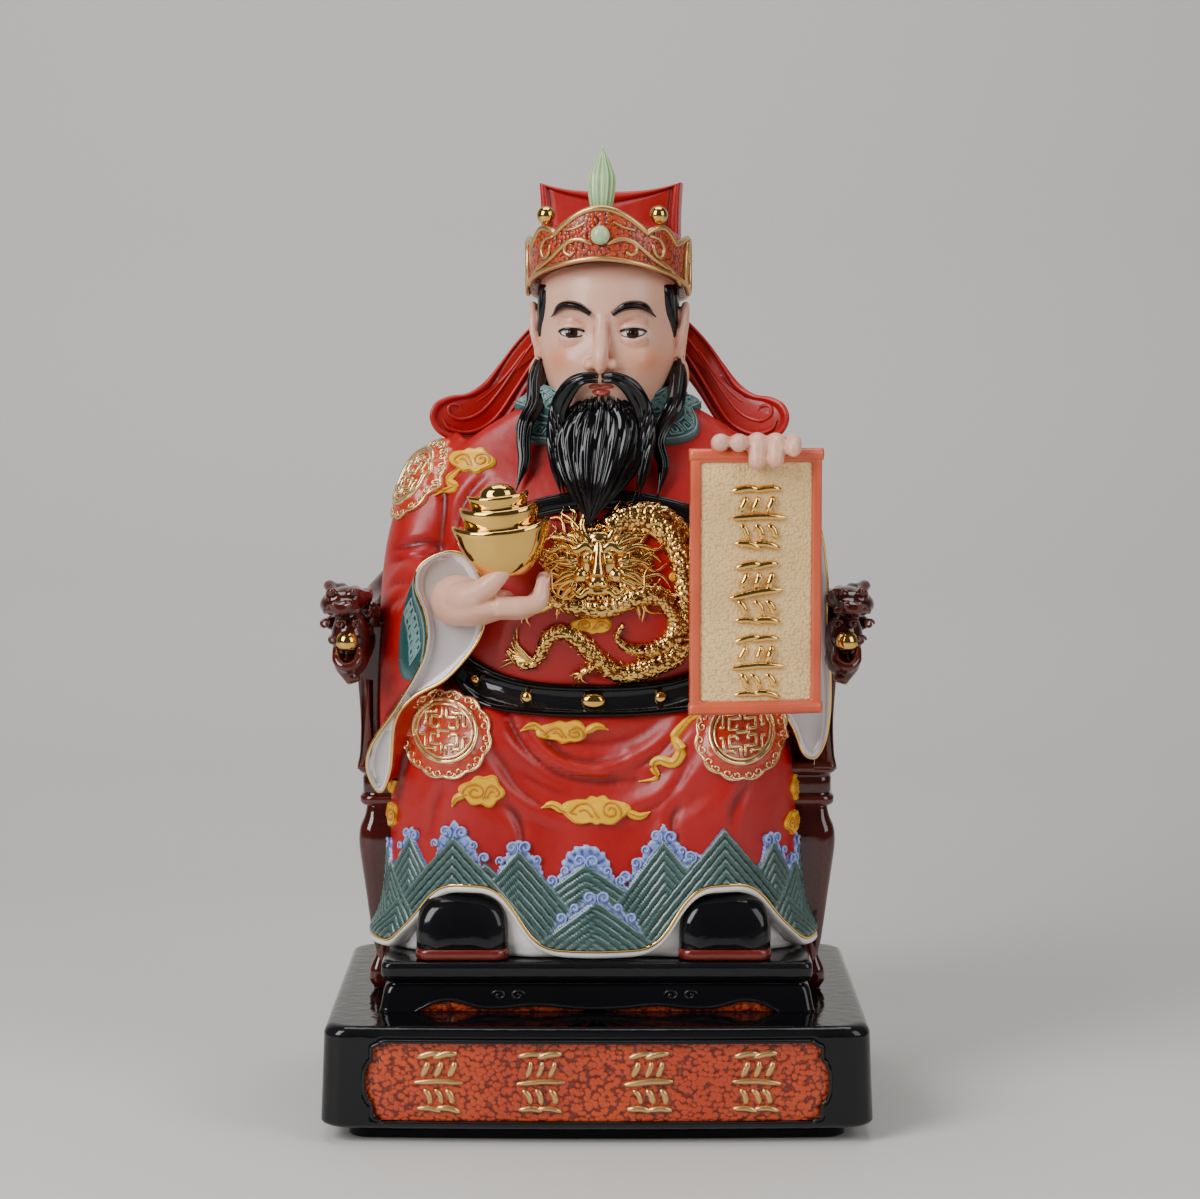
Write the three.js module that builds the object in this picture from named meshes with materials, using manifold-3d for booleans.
// A seated god of wealth in glazed and gilt porcelain: a stepped black plinth, a dark red armchair
// with beast-head arm ends, the robed figure with its official's hat, a gilt ingot and a hanging scroll.
// Millimetres, +Z up. The figure looks along -Y and the origin is under the middle of the plinth.
import * as THREE from "three";
import { mergeVertices } from "three/addons/utils/BufferGeometryUtils.js";
import Module from "manifold-3d";

const wasm = await Module();
wasm.setup();

// Driving sizes
const FIGURE_HEIGHT = 348; // soles to the tip of the plume
const BASE_HEIGHT = 50;
const BASE_DEPTH = 180; // with the bow of its front
const BASE_LEDGE = 10; // from the chair's legs to the base's edge, at each side
const BASE_CORNER = 9;
const BASE_BOW = 3; // how far the front face bulges in the middle
const PANEL_DEPTH = 2.2;
const PANEL_MARGIN = 17;
const FOOTREST_HEIGHT = 22;
const FOOTREST_DEPTH = 44;
const FOOTREST_LEDGE = 27; // from the base's front edge back to the footrest
const CHAIR_WIDTH = 210;
const CHAIR_DEPTH = 98;
const LEG_WIDTH = 20;
const SEAT_TOP = 102; // above the base
const SEAT_RAIL = 20;
const ARM_TOP = 168; // above the base, at the middle of the arm rail
const ARM_RAIL = 13; // thickness of the arm rail
const BACK_RISE = 44; // how much higher the rail is at the back
const PANEL_WALL = 7; // thickness of the panels under the arm rail
const INGOT_LENGTH = 40;
const SCROLL_WIDTH = 56;
const SCROLL_LENGTH = 112;
const SCROLL_THICK = 4;
const SCROLL_BORDER = 4.4;
const SCROLL_BEND = 1.6; // how far its sides come back towards the figure
const SEAT_REACH = 18; // from the chair's front edge back to the figure's middle
const CLEARANCE = 0.3;
const TWIN_GAP = 0.08; // between two sheets of one mesh that would touch at a corner

// Levels that follow from them
const FLOOR = BASE_HEIGHT + FOOTREST_HEIGHT; // what the soles stand on
const UNIT = FIGURE_HEIGHT / 348; // the figure's forms are laid out on a grid of 348 units in its height
const SPREAD = CHAIR_WIDTH / 210; // and of 210 units in its chair's width, since its robe fills the chair
const BASE_WIDTH = CHAIR_WIDTH + 2 * BASE_LEDGE;
const BASE_FRONT = BASE_BOW - BASE_DEPTH / 2; // at the ends of its bowed front
const FOOTREST_FRONT = BASE_FRONT + FOOTREST_LEDGE;
const FOOTREST_WIDTH = CHAIR_WIDTH - LEG_WIDTH - 2;
const CHAIR_FRONT = FOOTREST_FRONT + FOOTREST_DEPTH - 2;
const CHAIR_BACK = CHAIR_FRONT + CHAIR_DEPTH;

const { PI, abs, sign, sin, cos, min, max, sqrt, exp, hypot } = Math;
const vec = (x, y, z) => new THREE.Vector3(x, y, z);
const mix = (a, b, t) => a + (b - a) * t;
const clamp = (t) => min(1, max(0, t));
const smooth = (a, b, x) => {
  const t = clamp((x - a) / (b - a));
  return t * t * (3 - 2 * t);
};
const bell = (distance, width) => exp(-((distance / width) ** 2));
const span = (count) => [...Array(count).keys()];
const power = (value, exponent) => sign(value) * abs(value) ** exponent;

// Reads a table of rows [place, value, value, ...] at any place, with smooth steps between its rows.
function readTable(rows, place) {
  if (place <= rows[0][0]) return rows[0].slice(1);
  const k = rows.findIndex((row) => row[0] >= place);
  if (k < 0) return rows.at(-1).slice(1);
  const [before, after] = [rows[k - 1], rows[k]];
  const t = (place - before[0]) / (after[0] - before[0]);
  return before.slice(1).map((value, i) => {
    const slopeIn = k > 1 ? (after[i + 1] - rows[k - 2][i + 1]) / (after[0] - rows[k - 2][0]) : 0;
    const slopeOut = k + 1 < rows.length
      ? (rows[k + 1][i + 1] - value) / (rows[k + 1][0] - before[0])
      : 0;
    const step = after[0] - before[0];
    return value * (1 + 2 * t) * (1 - t) ** 2 + after[i + 1] * t * t * (3 - 2 * t)
      + slopeIn * step * t * (1 - t) ** 2 - slopeOut * step * t * t * (1 - t);
  });
}

// Turns triangles into a solid that faces outwards.
function solidFrom(points, triangles) {
  let volume = 0;
  for (const [a, b, c] of triangles) volume += points[a].dot(points[b].clone().cross(points[c]));
  const index = triangles.flatMap(([a, b, c]) => (volume < 0 ? [a, c, b] : [a, b, c]));
  const geometry = new THREE.BufferGeometry().setFromPoints(points).setIndex(index);
  return solidOf(geometry);
}

function solidOf(geometry) {
  const bare = geometry.clone();
  bare.deleteAttribute("normal");
  bare.deleteAttribute("uv");
  const merged = mergeVertices(bare, 1e-4);
  return new wasm.Manifold(new wasm.Mesh({
    numProp: 3,
    vertProperties: merged.attributes.position.array,
    triVerts: new Uint32Array(merged.index.array),
  }));
}

// A skin over a row of closed rings with as many points each, with fans at both ends.
function loft(rings, firstTip, lastTip) {
  const count = rings[0].length;
  const points = rings.flat();
  const triangles = [];
  for (const k of span(rings.length - 1)) {
    for (const i of span(count)) {
      const [a, b] = [k * count + i, k * count + ((i + 1) % count)];
      triangles.push([a, b, b + count], [a, b + count, a + count]);
    }
  }
  const ends = [[rings[0], 0, firstTip, true], [rings.at(-1), (rings.length - 1) * count, lastTip, false]];
  for (const [ring, start, tip, first] of ends) {
    const middle = ring.reduce((sum, p) => sum.add(p), vec(0, 0, 0)).divideScalar(count);
    points.push(tip ?? middle);
    for (const i of span(count)) {
      const [a, b] = [start + i, start + ((i + 1) % count)];
      triangles.push(first ? [points.length - 1, b, a] : [points.length - 1, a, b]);
    }
  }
  return solidFrom(points, triangles);
}

// A rounded rectangle in plan. A bow pushes the middle of its front edge out.
function plate(halfX, halfY, corner, z, { x = 0, y = 0, bow = 0, arc = 2 } = {}) {
  const ring = [];
  const radius = min(corner, halfX * 0.98, halfY * 0.98);
  for (const quarter of span(4)) {
    for (const step of span(arc + 1)) {
      const angle = (quarter + step / arc) * PI / 2;
      const centre = [
        (quarter === 0 || quarter === 3 ? 1 : -1) * (halfX - radius),
        (quarter < 2 ? 1 : -1) * (halfY - radius),
      ];
      ring.push(vec(centre[0] + radius * cos(angle), centre[1] + radius * sin(angle), z));
    }
    if (quarter === 2 && bow) {
      for (const step of span(3)) ring.push(vec(mix(-1, 1, (step + 1) / 4) * (halfX - radius), -halfY, z));
    }
  }
  return ring.map((p) => vec(p.x + x, p.y + y - (p.y < 0 ? bow * (1 - (p.x / halfX) ** 2) : 0), p.z));
}

// A rod along a smooth line. Each radius is one number or [across, up], and the ends are round.
function rod(path, radii, { sides = 10, steps = 10, up = vec(0, 0, 1), closed = false } = {}) {
  const curve = new THREE.CatmullRomCurve3(path, closed);
  const rows = radii.map((r, i) => [i / (radii.length - 1), ...(Array.isArray(r) ? r : [r, r])]);
  const rings = span(steps + 1).map((k) => {
    const t = k / steps;
    const centre = curve.getPoint(t);
    const along = curve.getTangent(t);
    const across = along.clone().cross(up).normalize();
    const above = across.clone().cross(along).normalize();
    const [wide, tall] = readTable(rows, t);
    return span(sides).map((i) => {
      const angle = (2 * PI * i) / sides;
      return centre.clone().addScaledVector(across, wide * cos(angle)).addScaledVector(above, tall * sin(angle));
    });
  });
  return loft(rings);
}

function ball(centre, radii, { wide = 14, tall = 9, turn } = {}) {
  const geometry = new THREE.SphereGeometry(1, wide, tall);
  geometry.scale(radii.x, radii.y, radii.z);
  if (turn) geometry.applyMatrix4(new THREE.Matrix4().makeRotationFromEuler(turn));
  geometry.translate(centre.x, centre.y, centre.z);
  return solidOf(geometry);
}

// A slab that runs along X: each row gives its place, its lower and upper edge, its front and its back.
function strip(rows, matrix = new THREE.Matrix4()) {
  return loft(rows.map(([x, low, high, front, back]) =>
    [vec(x, front, low), vec(x, front, high), vec(x, back, high), vec(x, back, low)]
      .map((p) => p.applyMatrix4(matrix))));
}

const join = (solids) => solids.reduce((sum, solid) => sum.add(solid));
const cut = (solid, tools) => tools.reduce((left, tool) => left.subtract(tool), solid);

function meshOf(solid) {
  const { numProp, numVert, triVerts, vertProperties } = solid.getMesh();
  const points = span(numVert).map((i) => vec(...vertProperties.subarray(i * numProp, i * numProp + 3)));
  const triangles = span(triVerts.length / 3).map((i) => [...triVerts.subarray(3 * i, 3 * i + 3)]);
  return { points, triangles };
}

// Where two sheets of a mesh touch at a corner, each draws back a little towards its own neighbours.
function partTwins(points, triangles) {
  const byPlace = new Map();
  points.forEach((p, v) => {
    const key = p.toArray().map((value) => value.toFixed(2)).join();
    byPlace.set(key, [...(byPlace.get(key) ?? []), v]);
  });
  for (const v of [...byPlace.values()].filter((twins) => twins.length > 1).flat()) {
    const near = triangles.filter((corners) => corners.includes(v)).flat().filter((k) => k !== v);
    const middle = near.reduce((sum, k) => sum.add(points[k]), vec(0, 0, 0)).divideScalar(near.length || 1);
    points[v].add(middle.sub(points[v]).setLength(TWIN_GAP / 2));
  }
}

const crossOf = ([a, b, c]) => b.clone().sub(a).cross(c.clone().sub(a));

// The squared distance from a plane, as the ten products that any point's distance is worked out from.
function planeSquares(corners, byArea) {
  const normal = crossOf(corners);
  const area = normal.length();
  if (area > 0) normal.divideScalar(area);
  const plane = [normal.x, normal.y, normal.z, -normal.dot(corners[0])];
  return plane.flatMap((a, i) => plane.slice(i).map((b) => a * b * (byArea ? area : 1)));
}

function misfit(squares, { x, y, z }) {
  const [xx, xy, xz, x1, yy, yz, y1, zz, z1, one] = squares;
  return xx * x * x + yy * y * y + zz * z * z + one
    + 2 * (xy * x * y + xz * x * z + yz * y * z + x1 * x + y1 * y + z1 * z);
}

// Thins a closed mesh by shrinking edges to points, those first that change the surface least. It stops at
// a number of triangles, at a distance from the old surface, or, given a shortest edge, when none is shorter.
function thin(solid, { target = 0, limit = Infinity, shortest = 0 }) {
  const { points, triangles } = meshOf(solid);
  const byArea = limit === Infinity;
  const around = points.map(() => new Set());
  const squares = points.map(() => new Array(10).fill(0));
  triangles.forEach((corners, t) => {
    const products = planeSquares(corners.map((v) => points[v]), byArea);
    for (const v of corners) {
      around[v].add(t);
      products.forEach((product, i) => (squares[v][i] += product));
    }
  });
  const neighbours = (v) => new Set([...around[v]].flatMap((t) => triangles[t]));
  const turnsOver = (v, other, place) => [...around[v]].some((t) => {
    if (triangles[t].includes(other)) return false;
    const before = crossOf(triangles[t].map((k) => points[k]));
    const after = crossOf(triangles[t].map((k) => (k === v ? place : points[k])));
    return after.dot(before) < 0.2 * after.length() * before.length() || after.length() < 1e-4;
  });
  const rank = (a, b) => {
    const length = points[a].distanceTo(points[b]);
    if (shortest) return { a, b, place: points[a], cost: length };
    const sum = squares[a].map((value, i) => value + squares[b][i]);
    const places = [points[a], points[b], points[a].clone().lerp(points[b], 0.5)];
    const costs = places.map((place) => misfit(sum, place) + 1e-5 * length);
    const least = costs.indexOf(min(...costs));
    return { a, b, place: places[least], cost: costs[least] };
  };
  const most = shortest || limit * limit;
  let left = triangles.length;
  let gone = Infinity;
  while (left > target && gone > 0) {
    const edges = triangles.flatMap((corners) => (corners ?? []).flatMap((a, k) => {
      const b = corners[(k + 1) % 3];
      return a < b ? [rank(a, b)] : [];
    })).filter(({ cost }) => cost < most).sort((one, two) => one.cost - two.cost);
    const quota = target ? max(60, (left - target) * 0.35) : edges.length;
    const touched = new Set();
    gone = 0;
    for (const { a, b, place } of edges) {
      if (gone >= quota || left - gone <= target) break;
      if (touched.has(a) || touched.has(b)) continue;
      const near = neighbours(a);
      const shared = [...neighbours(b)].filter((v) => near.has(v) && v !== a && v !== b);
      if (shared.length !== 2 || turnsOver(a, b, place) || turnsOver(b, a, place)) continue;
      for (const v of [...near, ...neighbours(b)]) touched.add(v);
      points[a] = place;
      squares[a] = squares[a].map((value, i) => value + squares[b][i]);
      for (const t of around[b]) {
        if (triangles[t].includes(a)) {
          for (const v of triangles[t]) if (v !== b) around[v].delete(t);
          triangles[t] = null;
          gone += 1;
        } else {
          triangles[t] = triangles[t].map((v) => (v === b ? a : v));
          around[a].add(t);
        }
      }
      around[b] = new Set();
    }
    left -= gone;
  }
  const kept = triangles.filter((corners) => corners);
  const used = [...new Set(kept.flat())];
  const place = new Map(used.map((v, i) => [v, i]));
  const corners = used.map((v) => points[v].clone());
  const faces = kept.map((face) => face.map((v) => place.get(v)));
  partTwins(corners, faces);
  return solidFrom(corners, faces);
}

// Plinth

// The base's side profile: [height, how far the face stands in from the widest line]
const baseProfile = [[0, 11], [3.5, 11], [7, 1.6], [9, 0], [BASE_HEIGHT - 3.5, 1.4], [BASE_HEIGHT, 4]];
const footrestProfile = [[0, 0], [1.5, 0.8], [10.5, 2.8], [12, 4.6], [13.5, 2.6], [16, 1.4], [20.5, 1.4], [22, 3]];

// The sunk panel's ends step in twice and come to a round nose: [place, height], as shares of half its size
const panelNose = [[0.93, 1], [0.962, 0.62], [0.972, 0.42], [0.992, 0.25], [1, 0.02]];

// The footrest's apron has a scalloped upper edge over its sunk ground.
function apronHeight(share) {
  const lobes = 1.6 + 3.6 * bell(abs(share) - 0.82, 0.13) + 1.6 * bell(abs(share) - 0.33, 0.16);
  return lobes * sqrt(clamp((1 - abs(share)) * 12));
}

function plinth() {
  const base = loft(baseProfile.map(([z, inset]) =>
    plate(BASE_WIDTH / 2 + 2 - inset, (BASE_DEPTH - BASE_BOW) / 2 - inset, BASE_CORNER, z,
      { y: BASE_BOW / 2, bow: BASE_BOW })));
  const footrestMiddle = FOOTREST_FRONT + FOOTREST_DEPTH / 2;
  const footrest = loft(footrestProfile.map(([z, inset]) =>
    plate(FOOTREST_WIDTH / 2 - inset, FOOTREST_DEPTH / 2 - inset, 4,
      BASE_HEIGHT - (z ? 0 : 1) + (z * FOOTREST_HEIGHT) / 22, { y: footrestMiddle })));
  const bowAt = (x) => BASE_FRONT - BASE_BOW * (1 - (x / (BASE_WIDTH / 2)) ** 2);
  const nose = panelNose.toReversed().map(([x, z]) => [-x, z]);
  const flat = span(5).map((k) => [(k / 3 - 2 / 3) * panelNose[0][0], 1]);
  const [low, high] = [BASE_HEIGHT * 0.19, BASE_HEIGHT * 0.88];
  const panel = strip([...nose, ...flat, ...panelNose].map(([share, tall]) => {
    const x = share * (BASE_WIDTH / 2 - PANEL_MARGIN);
    const half = ((high - low) / 2) * tall;
    return [x, (low + high) / 2 - half, (low + high) / 2 + half, BASE_FRONT - BASE_CORNER, bowAt(x) + PANEL_DEPTH];
  }));
  const apron = strip(span(21).map((k) => {
    const share = mix(-0.998, 0.998, k / 20);
    const top = BASE_HEIGHT + 0.2 + apronHeight(share);
    return [share * FOOTREST_WIDTH * 0.415, BASE_HEIGHT, top, FOOTREST_FRONT - 1, FOOTREST_FRONT + 2.6 + PANEL_DEPTH];
  }));
  return cut(join([base, footrest]), [panel, apron]);
}

// Chair

// A leg from its foot to the seat rail: [height above the base, half thickness]. The front ones have ball feet.
const frontLeg = [[0, 4.4], [6, 6.3], [12, 4.8], [15, 3.6], [22, 5], [45, 8], [63, 10.4], [73, 10], [83, 7.2]];
const backLeg = [[0, 5.4], [22, 5], [63, 10], [83, 8]];

function chairLeg(side, y, grow) {
  const outer = (CHAIR_WIDTH / 2) * side;
  const rings = (y < 0 ? frontLeg : backLeg).map(([height, half]) => {
    const size = (half * LEG_WIDTH) / 20 + grow;
    const z = BASE_HEIGHT + CLEARANCE + (height * (SEAT_TOP - SEAT_RAIL + 1)) / 83;
    const x = outer - side * (LEG_WIDTH / 2 + 0.6 - (height < 20 ? 2 : 0));
    return plate(size, size, size * 0.62, z - (height ? 0 : grow), { x, y, arc: 1 });
  });
  return loft(rings);
}

// The arm rail runs from one beast's neck round the back to the other.
function armRailPath() {
  const x = CHAIR_WIDTH / 2 - ARM_RAIL / 2 + 2;
  const arm = BASE_HEIGHT + ARM_TOP;
  const back = CHAIR_BACK - ARM_RAIL / 2;
  const half = [
    vec(x, CHAIR_FRONT - 6, arm),
    vec(x, CHAIR_FRONT + 28, arm - 4),
    vec(x - 2, CHAIR_FRONT + 60, arm + 3),
    vec(x - 22, back - 6, arm + BACK_RISE * 0.45),
    vec(x * 0.42, back, arm + BACK_RISE * 0.86),
  ];
  const mirrored = half.map((p) => vec(-p.x, p.y, p.z)).reverse();
  return [...half, vec(0, back, arm + BACK_RISE), ...mirrored];
}

function beastHead(side, grow) {
  const spot = (x, y, z) => vec(side * (CHAIR_WIDTH / 2 + x), CHAIR_FRONT + y, BASE_HEIGHT + ARM_TOP + z);
  const size = (x, y, z) => vec(x + grow, y + grow, z + grow);
  const mouth = [
    ball(spot(4, -19, 7), size(11.5, 13, 6.6), { wide: 8, tall: 5, turn: new THREE.Euler(-0.12, side * 0.22, 0) }),
    rod([spot(-4, -29, 4), spot(5, -32, 5), spot(12.5, -24, 3)], [1.4 + grow, 2.6 + grow, 1.4 + grow], { sides: 5, steps: 3 }),
    rod([spot(0, -29, -27), spot(2, -25, -21), spot(1, -12, -16), spot(0, -2, -12)],
      [4 + grow, 7.2 + grow, 8.5 + grow, 9 + grow], { sides: 7, steps: 3 }),
    ball(spot(1.5, -27, -9), size(5, 5, 5), { wide: 7, tall: 5 }),
    ball(spot(1.5, -17, -8), size(8.6, 10, 12), { wide: 6, tall: 4 }),
  ];
  const mane = span(3).map((k) => rod(
    [spot(7 - 4 * k, -16, 10 - k), spot(8 - 5 * k, -6, 14 - 2 * k), spot(7 - 5 * k, 5, 11 - 3 * k)],
    [3.6 + grow, 3.6 + grow, 1 + grow], { sides: 4, steps: 2 }));
  const brows = [-2, 6].map((x) => ball(spot(x, -25, 11), size(3.2, 3.6, 2.6), { wide: 5, tall: 3 }));
  return join([...mouth, ...mane, ...brows]);
}

// grow thickens every part of the chair alike, which makes the cutter that keeps the figure clear of it.
function chair(grow = 0) {
  const seatLow = BASE_HEIGHT + SEAT_TOP - SEAT_RAIL;
  const seatHigh = BASE_HEIGHT + SEAT_TOP;
  const middle = (CHAIR_FRONT + CHAIR_BACK) / 2;
  const legInset = LEG_WIDTH / 2;
  const box = (halfX, front, back, corner, levels) => loft(levels.map(([z, inset]) =>
    plate(halfX - inset + grow, (back - front) / 2 - inset + grow, corner, z, { y: (front + back) / 2 })));
  const rail = box(CHAIR_WIDTH / 2, CHAIR_FRONT, CHAIR_BACK, 6, [
    [seatLow - grow, 3], [seatLow + 2, 0.6], [seatLow + 5, 0.6], [seatLow + 6.5, 1.8],
    [seatHigh - 6, 1.8], [seatHigh - 4, 0], [seatHigh - 1, 0], [seatHigh + grow, 1],
  ]);
  const under = box(CHAIR_WIDTH / 2 - 7, CHAIR_FRONT + 5, CHAIR_BACK - 5, 4, [
    [BASE_HEIGHT + CLEARANCE, 0], [seatLow + 4, 0],
  ]);
  const legs = [-1, 1].flatMap((side) => [CHAIR_FRONT + legInset, CHAIR_BACK - legInset].map((y) =>
    chairLeg(side, y, grow)));
  const railPath = armRailPath();
  const arms = rod(railPath, [ARM_RAIL / 2 + grow], { sides: 8, steps: 16 });
  const curve = new THREE.CatmullRomCurve3(railPath);
  const wall = loft(span(15).map((k) => {
    const t = mix(0.012, 0.988, k / 14);
    const p = curve.getPoint(t);
    const across = curve.getTangent(t).cross(vec(0, 0, 1)).normalize().multiplyScalar(PANEL_WALL / 2 + grow);
    return [
      vec(p.x + across.x, p.y + across.y, p.z), vec(p.x - across.x, p.y - across.y, p.z),
      vec(p.x - across.x, p.y - across.y, seatHigh - 3), vec(p.x + across.x, p.y + across.y, seatHigh - 3),
    ];
  }));
  const posts = [-1, 1].map((side) => loft([[seatHigh - 3, 6.2], [seatHigh + 4, 5], [seatHigh + 20, 4.6],
    [BASE_HEIGHT + ARM_TOP - 14, 7], [BASE_HEIGHT + ARM_TOP - 4, 8]].map(([z, half]) =>
    plate(half + grow, half + 1.5 + grow, half * 0.5, z, {
      x: side * (CHAIR_WIDTH / 2 - 5.8), y: CHAIR_FRONT + 8 - half * 0.4,
    }))));
  const heads = [-1, 1].map((side) => beastHead(side, grow));
  const body = [rail, under, ...legs, arms, wall, ...posts, ...heads];
  const standing = plate(CHAIR_WIDTH, CHAIR_DEPTH * 2, 1, BASE_HEIGHT / 2, { y: middle });
  const below = loft([standing, standing.map((p) => vec(p.x, p.y, BASE_HEIGHT + CLEARANCE))]);
  return grow ? join(body) : join(body).subtract(below);
}

// Figure: places are in units of its grid, and heights are counted from its soles.

const at = (x, y, z) => vec(x * SPREAD, CHAIR_FRONT + SEAT_REACH + y * UNIT, FLOOR + CLEARANCE + z * UNIT);
const big = (x, y, z) => vec(x * UNIT, y * UNIT, z * UNIT);
const long = (values) => values.map((r) => (Array.isArray(r) ? r.map((v) => v * UNIT) : r * UNIT));

// Where the ingot and the scroll hang, and how far they turn. The hands are drawn from these.
const INGOT_PLACE = { x: -40, y: -62, z: 182.5, roll: -0.1 };
const SCROLL_PLACE = { x: 67, y: -67.5, z: 164, turn: 0.14 };

const ROBE_AXIS = -8; // the robe's rings are drawn about a line this far in front of the middle
const ROBE_SQUARE = 2.45;
const KNEE = 63; // sideways from the middle to each knee
const SHOE = 56.5;

// [height, half width, reach to the front, reach to the back]
const robeTable = [
  [0, 93, 48, 40], [8, 94, 49, 50], [22, 91.5, 47, 58], [43, 90, 43.5, 60], [70, 89, 40, 62],
  [85, 87, 38, 62], [95, 84, 35, 61], [105, 77, 31, 60], [113, 68, 28.5, 59], [121, 63.5, 29, 58],
  [137, 64, 32.5, 57], [160, 67, 34, 56], [185, 69, 29, 54], [204, 69, 20, 51], [214, 66, 13.5, 47],
  [222, 59, 9, 41], [229, 49, 7, 34], [236, 37, 6.5, 29], [244, 25, 8, 25],
];
const kneeTable = [[0, 0], [15, 4], [40, 8], [70, 12.5], [92, 16], [104, 12], [112, 4], [119, 0]];
const leanTable = [[0, -1.5], [110, -1.5], [170, 1.5], [225, 4.5], [244, 5]];

// What stands out of the robe's front: the knees, the hanging folds of the lap and of the shins.
function frontRelief(x, z) {
  const knees = readTable(kneeTable, z)[0] * (bell(x - KNEE, 27) + bell(x + KNEE, 27));
  const drop = z - 0.0095 * x * x;
  const lap = bell(x, 42) * smooth(52, 66, z) * (1 - smooth(98, 110, z));
  const swags = 1.7 * lap * sin((drop * 2 * PI) / 20 + 1.2) - 3 * lap * bell(z - 84, 16);
  const shins = 1.3 * (1 - smooth(52, 78, z)) * cos(x / 7.5) * bell(x, 30);
  return knees + swags + shins;
}

function robePoint(angle, z, outset = 0) {
  const [half, front, back] = readTable(robeTable, z);
  const [lean] = readTable(leanTable, z);
  const round = 2 / ROBE_SQUARE;
  const narrow = 1 - 0.13 * smooth(0, 0.5, -cos(angle)) * (1 - smooth(80, 110, z));
  const x = (half * narrow + outset) * power(sin(angle), round);
  const reach = (cos(angle) > 0 ? front : back) + outset;
  const relief = frontRelief(x, z) * clamp(cos(angle)) ** 0.7;
  const flare = 5 * bell(z, 9) * bell(abs(x) - 92, 14);
  return vec(x + sign(x) * flare + lean, ROBE_AXIS - reach * power(cos(angle), round) - relief, z);
}

// The robe's front at a place seen from the front, with the direction that faces out.
function onRobe(x, z) {
  let [low, high] = [-PI / 2, PI / 2];
  for (const _ of span(22)) {
    const middle = (low + high) / 2;
    if (robePoint(middle, z).x < x) low = middle;
    else high = middle;
  }
  const angle = (low + high) / 2;
  const point = robePoint(angle, z);
  const along = robePoint(angle + 0.03, z).sub(robePoint(angle - 0.03, z));
  const up = robePoint(angle, z + 1).sub(robePoint(angle, z - 1));
  return { point, out: up.clone().cross(along).normalize().negate(), angle };
}

const grid = (p) => at(p.x, p.y, p.z);

// The hem lifts in an arch over each shoe.
const hemHeight = (x) => 1.2 + 31 * max(bell(abs(x) - SHOE, 22) ** 1.2, 0) * (1 - smooth(86, 92, abs(x)));
const HEM_BLEND = 58;

const hemLevels = [0, 6, 16, 30, 45, HEM_BLEND];
const lapLevels = [66, 74, 80, 86, 92, 97];
const chestLevels = [126, 144, 165, 186, 202, 213, 222, 231, 244];
const ROBE_SIDES = 36;
// The belt sags in front: [rise from its middle, how far it stands out]
const beltRings = [[-7.8, 0.2], [-6.6, 3.8], [6.6, 3.8], [7.8, 0.2]];
const beltHeight = (angle) => 110.5 + 8 * (1 - cos(angle));
// Angles round the robe, closer together at the front.
const robeAngle = (i, count) => {
  const turn = (2 * PI * i) / count;
  return turn - 0.38 * sin(turn);
};

function robe() {
  const ring = (height, outset = 0) => span(ROBE_SIDES).map((i) => {
    const angle = robeAngle(i, ROBE_SIDES);
    return grid(robePoint(angle, height(angle), outset));
  });
  const hem = hemLevels.map((level) => ring((angle) => {
    const lift = cos(angle) > -0.2 ? hemHeight(robePoint(angle, level).x) : 1.2;
    return mix(lift, HEM_BLEND, level / HEM_BLEND);
  }));
  const skin = [
    ...hem,
    ...lapLevels.map((level) => ring(() => level)),
    ...beltRings.map(([rise, outset]) => ring((angle) => beltHeight(angle) + rise, outset)),
    ...chestLevels.map((level) => ring((angle) => level + 12 * (1 - smooth(126, 165, level)) * (1 - cos(angle)) / 2)),
  ];
  const lining = [0, 38].map((z) => span(20).map((i) => grid(robePoint(robeAngle(i, 20), z, -5.5 - z * 0.05))));
  return join([loft(skin, at(0, ROBE_AXIS, 26)), loft(lining)]);
}

function shoe(side) {
  const x = side * SHOE - 1.5;
  // [distance from the toe, half width, height]
  const rows = [[0, 11, 15], [1, 14.6, 21], [4, 16.8, 25.5], [10, 17.6, 28], [28, 17.6, 28]];
  const upper = rows.map(([back, half, high]) => span(10).map((i) => {
    const angle = (PI * i) / 9;
    return at(x + half * power(cos(angle), 0.7), -57 + back, 5 + (high - 5) * power(sin(angle), 0.62));
  }));
  const sole = [0, 5.4].map((z) => {
    const middle = at(x, -46.5, z);
    return plate(19 * UNIT, 11.5 * UNIT, 6 * UNIT, middle.z, { x: middle.x, y: middle.y });
  });
  return join([loft(upper), loft(sole)]);
}

// Sleeves: each ring is drawn about its middle from an outward and an upward half axis.
const SLEEVE_SIDES = 18;
const armRing = (side, middle, outer, upper) => span(SLEEVE_SIDES).map((i) => {
  const angle = (2 * PI * i) / SLEEVE_SIDES;
  const point = (axis) => middle[axis] + outer[axis] * cos(angle) + upper[axis] * sin(angle);
  return at(side * point(0), point(1), point(2));
});

// The sleeve's open rim seen from the front, from its outer side over the wrist and down to the tip.
const rimLow = {
  points: [[75, 149], [76, 160], [70, 168.5], [62, 171], [52, 169], [44, 160], [40, 145], [44, 133],
    [53, 122], [66, 113], [77, 104], [84, 93], [87, 76], [94, 66], [99, 76], [97.5, 88], [88, 103],
    [77, 119], [71, 134]],
  depth: (z) => -46 + 10 * (1 - smooth(60, 130, z)),
};
const rimHigh = {
  points: [[97.5, 165], [94, 185], [86, 200], [74, 208], [60, 207], [50, 196], [47, 178], [51, 158],
    [59, 140], [69, 124], [79, 108], [86, 96], [90, 86], [95, 84], [99, 92], [100.5, 106], [100, 122],
    [98.5, 136], [98, 150]],
  depth: (z) => -36 + 8 * (1 - smooth(90, 150, z)) - 12 * smooth(150, 200, z),
};

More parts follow.
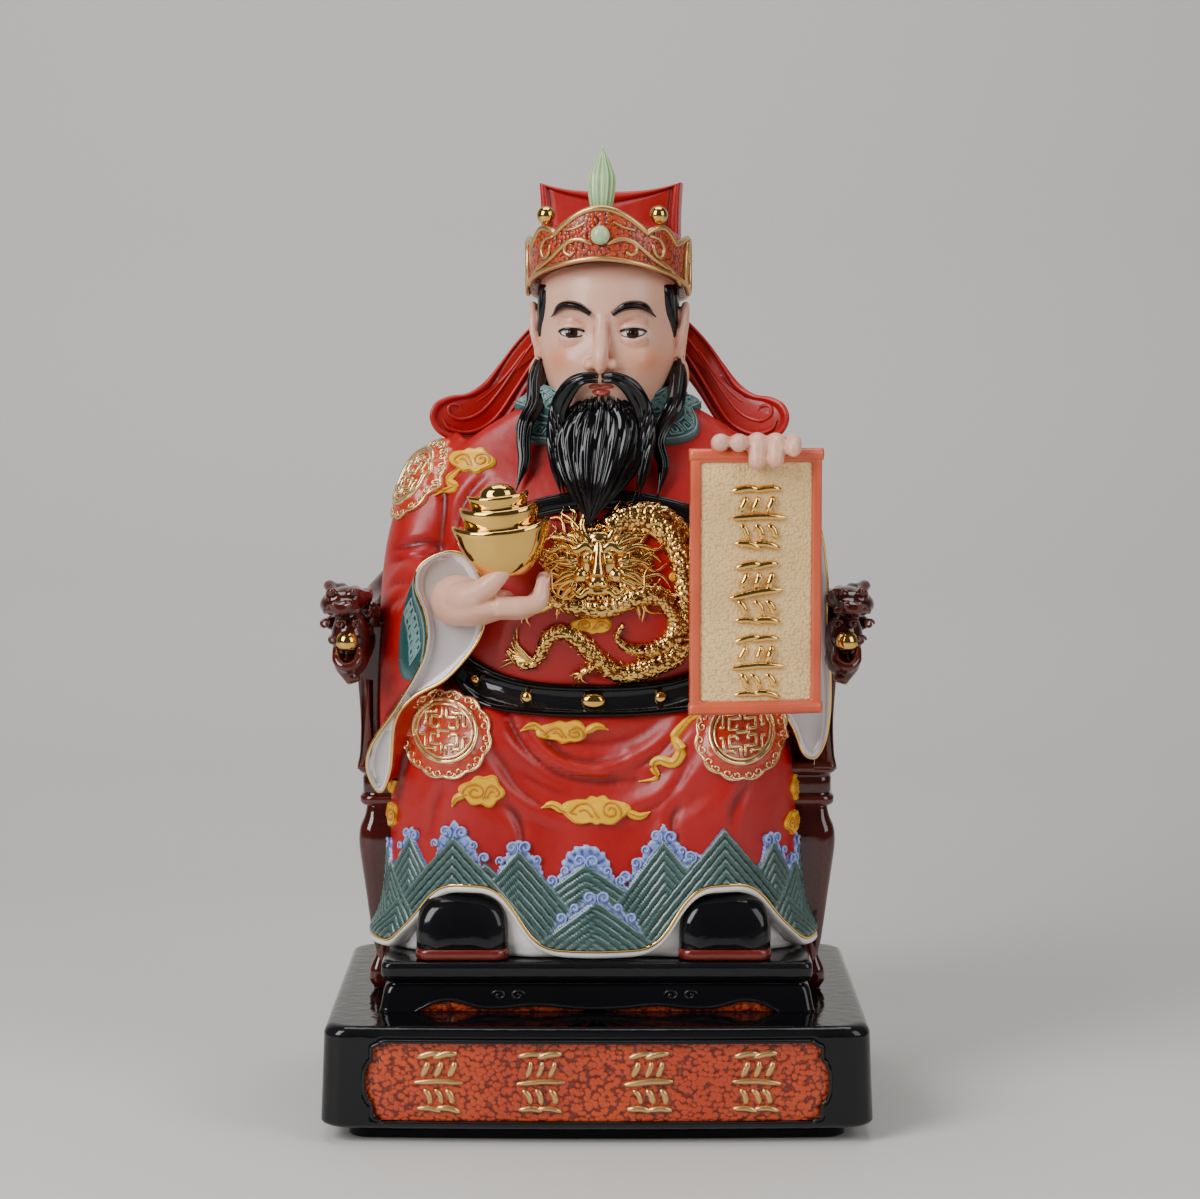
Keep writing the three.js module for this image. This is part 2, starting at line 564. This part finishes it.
function rimRing(side, rim) {
  const outline = new THREE.CatmullRomCurve3(rim.points.map(([x, z]) => vec(x, 0, z)), true);
  return span(SLEEVE_SIDES).map((i) => {
    const p = outline.getPoint(i / SLEEVE_SIDES);
    return vec(side * p.x, rim.depth(p.z), p.z);
  });
}

// A sleeve from the shoulder to the rim, then back inside as a hollow lining.
function sleeve(side, rings, rim) {
  const edge = rimRing(side, rim);
  const heights = edge.map((p) => p.z);
  const [low, high] = [min(...heights), max(...heights)];
  const spine = (z) => {
    const near = edge.filter((p) => abs(p.z - z) < 9).map((p) => p.x);
    return (min(...near) + max(...near)) / 2;
  };
  const inner = [[0.12, 0.5], [0.45, 9], [0.9, 14]].map(([share, depth]) => edge.map((p) => {
    const z = mix(p.z, mix(low, high, 0.07 + 0.86 * clamp((p.z - low) / (high - low))), share);
    return at(mix(p.x, spine(z), share), p.y + depth, z);
  }));
  const outer = rings.map(([middle, out, up]) => armRing(side, middle, out, up));
  return loft([...outer, edge.map(grid), ...inner]);
}

const lowArm = [
  [[50, 10, 214], [12, 0, 16], [0, -20, 0]],
  [[66, 8, 200], [15, 0, 10], [-2, -21, -3]],
  [[74, 6, 180], [17, 0, 4], [-2, -21, 4]],
  [[78, 3, 158], [17, 0, 2], [-2, -20, 14]],
  [[79, -8, 136], [16.5, 0, -2], [0, -14, 34]],
  [[80, -28, 121], [14, 2, -6], [-5, -6, 46]],
];
const highArm = [
  [[58, 10, 212], [14, 0, 16], [0, -20, 0]],
  [[74, 8, 198], [15, 0, 8], [-2, -21, -2]],
  [[80, 5, 178], [17, 0, 4], [-2, -21, 6]],
  [[82, 0, 160], [16, 0, 0], [-2, -18, 22]],
  [[80, -14, 148], [18, 0, -4], [-4, -10, 48]],
];

const finger = (path, radii) => rod(path.map((p) => at(...p)), long(radii), { sides: 5, steps: 3 });

// The raised palm that carries the ingot, on the robe's left side seen from the front. The places are
// counted from the ingot's middle.
function lowHand() {
  const near = ([x, y, z]) => [INGOT_PLACE.x + x, INGOT_PLACE.y + y, INGOT_PLACE.z + z];
  const palm = rod([at(-72, -34, 154), ...[[-22, 16, -28.5], [-10, 8, -29.5], [2, 4, -28.5]].map((p) => at(...near(p)))],
    long([12, [11, 12], [14, 9.5], [12, 6.5]]), { sides: 8, steps: 3 });
  const fingers = span(4).map((k) => finger(
    [[-2, 15 - 6 * k, k - 32.5], [9, 16 - 6.4 * k, k - 32], [15.5, 17 - 6 * k, -26.5], [16, 18 - 5.6 * k, -20]].map(near),
    [4.6, 4.4, 4, 2.4]));
  const thumb = finger([[-18, 4, -26.5], [-10, -2, -22.5], [-3, -4, -17.5], [0, -3, -13.5]].map(near), [6, 5.2, 4.6, 2.6]);
  return join([palm, ...fingers, thumb]);
}

// The hand that grips the scroll's top from behind, with its fingers over the edge. The places are counted
// from the middle of the scroll's upper edge.
function highHand() {
  const near = ([x, y, z]) => [SCROLL_PLACE.x + x, SCROLL_PLACE.y + y, SCROLL_PLACE.z + SCROLL_LENGTH / 2 / UNIT + z];
  const palm = rod([at(74, -34, 196), at(70, -46, 206), at(...near([-1, 11.5, -7]))],
    long([14, [15, 12], [16, 7]]), { sides: 8, steps: 2, up: vec(0, 1, 0) });
  const fingers = [[-16, 0, 4], [-7.5, 1, 4], [-0.5, -8, 4.4], [8, -8, 4.4], [15.5, 0, 4]].map(([x, low, r]) => finger(
    [[x * 0.8 + 0.6, 15.5, -9], [x - 0.5, 5.5, 0.5], [x - 1, -2.5, low * 0.2 - 1], [x - 1, -5.5, low - 6.5]].map(near),
    [r, r * 1.08, r, r * 0.55]));
  return join([palm, ...fingers]);
}

// Head: drawn about its own middle, then turned a little and set on the neck.
const HEAD = { x: 5, y: 0, z: 265, turn: -0.1 };
const NECK_ROOT = 212; // inside the robe's collar
const headPlace = new THREE.Matrix4()
  .makeTranslation(at(HEAD.x, HEAD.y, HEAD.z))
  .multiply(new THREE.Matrix4().makeRotationZ(HEAD.turn));
const onHead = (x, y, z) => big(x, y, z).applyMatrix4(headPlace);
const headBall = (centre, radii, detail) => {
  const geometry = new THREE.SphereGeometry(1, detail?.wide ?? 16, detail?.tall ?? 10);
  geometry.scale(radii[0] * UNIT, radii[1] * UNIT, radii[2] * UNIT);
  geometry.rotateY(detail?.roll ?? 0);
  geometry.translate(centre[0] * UNIT, centre[1] * UNIT, centre[2] * UNIT);
  return solidOf(geometry.applyMatrix4(headPlace));
};
const headRod = (path, radii, detail) => rod(path.map((p) => onHead(...p)), long(radii), detail);

// [height from the head's middle, half width, front, back]
const skullTable = [
  [-37, 9, 27, -2], [-34, 16, 31, 8], [-26, 23.5, 31.5, 18], [-12, 28.5, 31, 28], [2, 29.8, 29.5, 34],
  [14, 30, 30.5, 36], [30, 28, 28, 33], [42, 18, 18, 22],
];

function skull() {
  return loft(skullTable.map(([z, half, front, back]) => span(16).map((i) => {
    const angle = robeAngle(i, 16);
    return onHead(half * sin(angle), -(cos(angle) > 0 ? front : back) * cos(angle), z);
  })));
}

function face() {
  const pair = (make) => [-1, 1].flatMap((side) => make(side));
  return join([
    skull(),
    headRod([[0, -29.5, 9], [0, -34, 1], [0, -38.5, -8], [0, -36, -13]], [3.2, 3.8, 5.4, 3.6], { sides: 6, steps: 3 }),
    ...pair((s) => [
      headBall([s * 5.2, -34, -10.5], [4, 4, 3.4], { wide: 6, tall: 4 }),
      headBall([s * 13, -26.5, 2.5], [7.6, 4.6, 4.4], { wide: 6, tall: 4 }),
      headRod([[s * 4.5, -30.5, 10.5], [s * 11, -29.5, 14], [s * 18, -25.5, 13.5], [s * 22.5, -20.5, 9]],
        [1.5, 2.4, 2.1, 0.6], { sides: 4, steps: 3 }),
      headBall([s * 30.5, 4, 0], [3.8, 8, 15], { wide: 7, tall: 5, roll: s * 0.12 }),
      headBall([s * 31, 2, -15], [4.4, 4.6, 7], { wide: 6, tall: 4 }),
    ]),
    headRod([[-9, -29, -22], [0, -31.2, -22.6], [9, -29, -22]], [1.4, [2.4, 2.6], 1.4], { sides: 5, steps: 2 }),
    rod([at(HEAD.x, HEAD.y + 6, NECK_ROOT), onHead(0, 5, -28)], long([20, 21]), { sides: 10, steps: 1, up: vec(0, 1, 0) }),
  ]);
}

// [height from the head's middle, half width, front, thickness]
const beardTable = [
  [-80, 1.2, -42.5, 3], [-75, 5.5, -43, 8], [-68, 11.5, -43.5, 13], [-60, 17.5, -43, 18], [-50, 22, -41, 21],
  [-40, 22.5, -38, 19], [-32, 19, -34.5, 14], [-27, 9, -31, 8],
];

function beard() {
  const rings = span(8).map((k) => {
    const z = mix(-27, -80, (k / 7) ** 0.9);
    const [half, front, thick] = readTable(beardTable, z);
    return span(18).map((i) => {
      const angle = robeAngle(i, 18);
      const lock = 1 + 0.07 * (i % 2 ? -1 : 1) * clamp(cos(angle) * 2);
      const sway = -1.5 * smooth(-50, -80, z);
      return onHead(half * sin(angle) * lock + sway, front + thick / 2 - (thick / 2) * cos(angle) * lock, z);
    });
  });
  const strands = [-1, 1].flatMap((s) => [
    headRod([[s * 1.5, -38.5, -15], [s * 8, -38, -15.5], [s * 16, -34, -21], [s * 20.5, -31.5, -32], [s * 20.5, -33, -46],
      [s * 17, -36, -60]], [1.2, 2.6, 3.2, 3.4, 3, 0.8], { sides: 5, steps: 5 }),
    headRod([[s * 29.5, 1, -8], [s * 30.5, -14, -30], [s * 29, -24, -46], [s * 28.5, -27.5, -58], [s * 32, -28, -67]],
      [2, 3.4, 3.2, 2.2, 0.7], { sides: 5, steps: 4 }),
  ]);
  return join([loft(rings), ...strands]);
}

// Hat band: its lower edge arches over the brow, and its upper edge is a row of lobes.
const BAND_SIDES = 32;
const bandLow = (angle) => 33.5 - 17 * sin(angle / 2) ** 1.6 - (cos(angle) > 0 ? 3.5 * sin(angle) ** 2 : 3.5);
const bandHigh = (angle) => {
  const turn = (abs(angle) * 180) / PI;
  if (turn < 42) return 45 + 11 * cos((turn / 42) * 1.4);
  if (turn < 72) return 43 + 6.5 * sin(((turn - 42) / 30) * PI) ** 0.8;
  return 40 + 6.5 * bell(turn - 88, 14) - 3 * smooth(100, 140, turn);
};

function hat() {
  const ring = (radius, height) => span(BAND_SIDES).map((i) => {
    const angle = (2 * PI * i) / BAND_SIDES;
    const folded = angle > PI ? angle - 2 * PI : angle;
    const ears = 2.6 * bell(abs(folded) - 1.55, 0.3);
    return onHead((radius + ears) * sin(folded), 1 - (radius + 2.4) * cos(folded), height(abs(folded)));
  });
  const band = loft([
    ring(33, (a) => bandLow(a) + 1), ring(36, bandLow), ring(37.2, (a) => bandHigh(a)),
    ring(34.4, (a) => bandHigh(a) - 0.6), ring(33, () => 38),
  ]);
  const crown = headBall([0, 2, 36], [31, 32, 15], { wide: 10, tall: 5 });
  const top = span(7).map((k) => {
    const x = mix(-31, 31, k / 6);
    return [x, 64 + 5.2 * (abs(x) / 31) ** 2.4];
  });
  const outline = [[32, 30], ...top.slice().reverse(), [-32, 30]];
  const block = loft([4, 6, 24].map((y, k) => {
    const inset = k === 0 ? 1.2 : 0;
    return outline.map(([x, z]) => onHead(x - sign(x) * inset, y, z - (z > 40 ? inset : 0)));
  }));
  const plume = headRod([[-1.5, -31, 36], [-1.5, -31, 51], [-1.5, -30, 60], [-1.5, -28, 69], [-1.5, -26, 77], [-1.5, -24.5, 82.9]],
    [3.6, 3.6, 5.4, 5.6, 3, 0.4], { sides: 7, steps: 6, up: vec(0, 1, 0) });
  const beads = [-1, 1].map((s) => headBall([s * 25.4, -26.6, 49], [4.1, 4.1, 4.1], { wide: 6, tall: 4 }));
  const pearl = headBall([-1, -38.8, 44], [3.7, 3, 3.7], { wide: 6, tall: 4 });
  return join([band, crown, block, plume, ...beads, pearl]);
}

// The hat's two wings droop behind the ears and end in a curl. The outline is of the right one.
const wingOutline = [
  [16, 12], [24, 13.5], [33, 8], [42, -1], [50, -11.5], [57, -20], [64, -24.5], [71, -25.5], [77, -28.5],
  [79.5, -34.5], [77, -41], [71, -45], [63, -46.5], [54, -44], [46, -36], [38, -24], [30, -14], [22, -6], [16, -2],
];

function wings() {
  return join([-1, 1].map((side) => {
    const shape = new THREE.CatmullRomCurve3(wingOutline.map(([x, z]) => vec(x, 0, z)), true, "catmullrom", 0.5);
    const edge = span(22).map((k) => shape.getPoint(k / 22));
    const layer = (y, inset) => edge.map((p) => {
      const middle = vec(mix(30, 66, clamp((p.x - 16) / 62)), 0, mix(2, -36, clamp((p.x - 16) / 62)));
      const q = p.clone().lerp(middle, inset);
      return onHead(side * q.x, y - 0.0035 * q.x * q.x, q.z);
    });
    return loft([layer(20, 0.1), layer(21.2, 0), layer(25, 0)]);
  }));
}

// Raised work on the robe's front: rings about a middle, each [share of the outline, height].
function badge(x, z, outline, rows, sides = 16) {
  const rings = rows.map(([share, height]) => span(sides).map((i) => {
    const angle = (2 * PI * i) / sides;
    const reach = outline(angle) * share;
    const { point, out } = onRobe(x + reach * sin(angle), z + reach * cos(angle));
    return grid(point.addScaledVector(out, height));
  }));
  const { point, out } = onRobe(x, z);
  const last = rows.at(-1)[1];
  return loft(rings, grid(point.clone().addScaledVector(out, -3)), grid(point.clone().addScaledVector(out, last)));
}

const cloudShape = (wide, tall) => (angle) => {
  const oval = 1 / hypot(sin(angle) / wide, cos(angle) / tall);
  return oval * (1 + 0.12 * cos(5 * angle));
};
const cloudRows = [[1, -1], [0.85, 1.9]];
const roundelRows = [[1, -1], [0.95, 1.8], [0.6, 1]];
const studRows = [[1, 2], [0.75, 4.8]];

// Clouds on the robe: [sideways, height, half width, half height]
const clouds = [
  [-13, 93, 10.5, 4.6], [-48, 68, 9.5, 6.5], [1, 60, 14, 5.2], [32, 88, 5, 8], [1, 141, 8.6, 3.4],
  [36, 162, 5.5, 3.8], [40, 150, 4.6, 3],
];

// Mountains along the hem: [sideways, peak height, half width at the foot]
const mountains = [
  [-84, 36, 9], [-57, 52, 21], [-28, 42, 15], [0, 37, 30], [30, 44, 17], [54, 53, 19], [80, 44, 14],
];

function mountain([x, peak, half]) {
  const foot = max(6, hemHeight(x) - 4);
  const rows = [[1, -1], [0.9, 1.9], [0.6, 1.2], [0.5, 2.2]];
  const corners = [[0, peak], [half, foot + 4], [half * 0.7, foot], [-half * 0.7, foot], [-half, foot + 4]];
  const middle = mix(foot, peak, 0.35);
  const rings = rows.map(([share, height]) => corners.map(([aside, high]) => {
    const { point, out } = onRobe(x + aside * share, mix(middle, high, share));
    return grid(point.addScaledVector(out, height));
  }));
  const { point, out } = onRobe(x, middle);
  return loft(rings, grid(point.clone().addScaledVector(out, -3)), grid(point.clone().addScaledVector(out, 2)));
}

// The belt's studs and the strap across the chest.
function fittings() {
  const studs = [[-51, 2], [-26, 2.4], [-1.5, 0], [24, 2.4], [49, 2]].map(([x, size]) => {
    const shape = size ? () => size : cloudShape(5, 3.6);
    const { angle } = onRobe(x, 112);
    return badge(x, beltHeight(angle), shape, studRows, 6);
  });
  const strap = rod([-52, -38, -20, 3, 26, 42, 56].map((x) => {
    const { point, out } = onRobe(x, 196 - 0.0046 * (x - 3) ** 2);
    return grid(point.addScaledVector(out, 0.6));
  }), long([[2, 3.4]]), { sides: 5, steps: 7 });
  return join([...studs, strap]);
}

// The gilt dragon on the belly: a face seen from the front over a coiled body.
function dragon() {
  const onBelly = (x, z, rise) => {
    const { point, out } = onRobe(x, z);
    return grid(point.addScaledVector(out, rise));
  };
  const coil = [[14, 186], [34, 184], [44, 168], [30, 152], [32, 132], [22, 121], [2, 124], [-14, 132], [-30, 130], [-37, 136]];
  const body = rod(coil.map(([x, z]) => onBelly(x, z, 1)), long([3, 5, 5, 4.6, 4.6, 4.4, 4, 3.4, 2.6, 1.2]),
    { sides: 5, steps: 15 });
  const head = badge(2, 169, cloudShape(17, 20), [[1, -1], [0.84, 4], [0.4, 7.6]], 10);
  const parts = [
    [-6, 176, 3], [8, 176, 3], [1, 158, 5.4],
  ].map(([x, z, r]) => ball(onBelly(x, z, 5.4), big(r, r, r), { wide: 6, tall: 4 }));
  const mane = span(6).map((k) => {
    const turn = mix(-2.3, 2.3, k / 5);
    const [dx, dz] = [sin(turn), cos(turn)];
    return rod([[12, 3], [20, 3.5], [27, 1]].map(([reach, rise]) => onBelly(2 + dx * reach, 168 + dz * reach * 0.84, rise)),
      long([3, 3, 0.8]), { sides: 4, steps: 2 });
  });
  return join([body, head, ...parts, ...mane]);
}

function collar() {
  const rings = [[216, -2], [217, 2.6], [240, 4], [241, -2]].map(([z, outset]) => span(22).map((i) => {
    const angle = robeAngle(i, 22);
    const drop = cos(angle) > 0 ? -9 * cos(angle) ** 4 * smooth(245, 216, z) : 0;
    return grid(robePoint(angle, z + drop + 3 * (1 - clamp(cos(angle))), outset));
  }));
  return loft(rings);
}

function figure() {
  const knees = [-1, 1].map((side) => badge(side * KNEE - 1.5, 97, () => 15.5, roundelRows, 12));
  const puffs = clouds.map(([x, z, wide, tall]) => badge(x, z, cloudShape(wide, tall), cloudRows, 10));
  return join([
    robe(), shoe(-1), shoe(1), sleeve(-1, lowArm, rimLow), sleeve(1, highArm, rimHigh), lowHand(), highHand(),
    face(), beard(), hat(), wings(), collar(), fittings(), dragon(), ...knees, ...puffs, ...mountains.map(mountain),
  ]);
}

// Ingot: a boat-shaped bowl with a smaller one and a dome stacked in it.
function ingot(grow = 0) {
  // [height, radius, how much the ends rise], as shares of half the length
  const rows = [[-0.86, 0.3, 0], [-0.76, 0.5, 0], [-0.4, 0.8, 0.05], [-0.05, 0.97, 0.16], [0.03, 1, 0.2], [0.07, 0.96, 0.2],
    [0.02, 0.76, 0.1], [0.26, 0.82, 0.1], [0.34, 0.82, 0.1], [0.36, 0.74, 0.06], [0.38, 0.56, 0.04], [0.56, 0.6, 0.04],
    [0.62, 0.58, 0], [0.64, 0.44, 0], [0.84, 0.34, 0], [0.95, 0.15, 0]];
  const half = INGOT_LENGTH / 2;
  const place = at(INGOT_PLACE.x, INGOT_PLACE.y, INGOT_PLACE.z);
  const rings = rows.map(([height, radius, rise]) => span(16).map((i) => {
    const angle = (2 * PI * i) / 16;
    const x = (half * radius + grow) * cos(angle);
    const z = half * (height + rise * cos(angle) ** 4) + grow * sign(height);
    const turned = vec(x * cos(INGOT_PLACE.roll) + z * sin(INGOT_PLACE.roll),
      (half * 0.74 * radius + grow) * sin(angle), z * cos(INGOT_PLACE.roll) - x * sin(INGOT_PLACE.roll));
    return turned.add(place);
  }));
  return loft(rings);
}

// Scroll: a slightly curved tablet with a raised border and a roll at each end.
function scroll(grow = 0) {
  const place = at(SCROLL_PLACE.x, SCROLL_PLACE.y, SCROLL_PLACE.z);
  const toPlace = new THREE.Matrix4().makeTranslation(place).multiply(new THREE.Matrix4().makeRotationZ(SCROLL_PLACE.turn));
  const slab = (halfX, halfZ, front, back) => strip(span(7).map((k) => {
    const x = mix(-halfX, halfX, k / 6);
    const bend = SCROLL_BEND * (x / halfX) ** 2;
    return [x, -halfZ, halfZ, front + bend, back + bend];
  }), toPlace);
  const [halfX, halfZ] = [SCROLL_WIDTH / 2, SCROLL_LENGTH / 2];
  const tablet = slab(halfX + grow, halfZ - 2 + grow, -SCROLL_THICK / 2 - grow, SCROLL_THICK / 2 + grow);
  const ground = slab(halfX - SCROLL_BORDER, halfZ - SCROLL_BORDER - 2.5, -SCROLL_THICK, -SCROLL_THICK / 2 + 1);
  const rolls = [-1, 1].map((end) => rod([-1, -0.5, 0, 0.5, 1].map((t) =>
    vec(t * (halfX + 0.4), -0.6 + 1.6 * t * t, end * (halfZ - 2.6)).applyMatrix4(toPlace)),
  [2.6 + grow], { sides: 6, steps: 2 }));
  const body = grow ? tablet : tablet.subtract(ground);
  return join([body, ...rolls]);
}

// Every neighbour is cut out of the figure with a clearance, so nothing overlaps where it touches.
const FIGURE_TRIANGLES = 6700;
const FINE = CLEARANCE / 3; // how far thinning may move a surface that has a neighbour
const tidy = (solid) => thin(thin(solid, { limit: FINE }), { shortest: FINE / 2 });
const tools = [chair(CLEARANCE), scroll(CLEARANCE), ingot(CLEARANCE)];
const cutFigure = cut(thin(figure(), { target: FIGURE_TRIANGLES }), tools);

const solids = {
  plinth: [tidy(plinth()), 0x0a0a0b, 0.12, 0],
  chair: [tidy(chair()), 0x3a0a08, 0.15, 0],
  figure: [tidy(cutFigure), 0xb01510, 0.45, 0],
  ingot: [tidy(ingot()), 0xd9a441, 0.2, 1],
  scroll: [tidy(scroll()), 0xe8cfa0, 0.5, 0],
};

const group = new THREE.Group();
for (const [name, [solid, colour, roughness, metalness]] of Object.entries(solids)) {
  const { numProp, numVert, triVerts, vertProperties } = solid.getMesh();
  const corners = new Float32Array(numVert * 3);
  for (const i of span(numVert)) corners.set(vertProperties.subarray(i * numProp, i * numProp + 3), i * 3);
  const geometry = new THREE.BufferGeometry()
    .setAttribute("position", new THREE.BufferAttribute(corners, 3))
    .setIndex(new THREE.BufferAttribute(triVerts, 1));
  const mesh = new THREE.Mesh(geometry, new THREE.MeshStandardMaterial({ color: colour, roughness, metalness }));
  mesh.name = name;
  group.add(mesh);
}

export default group;
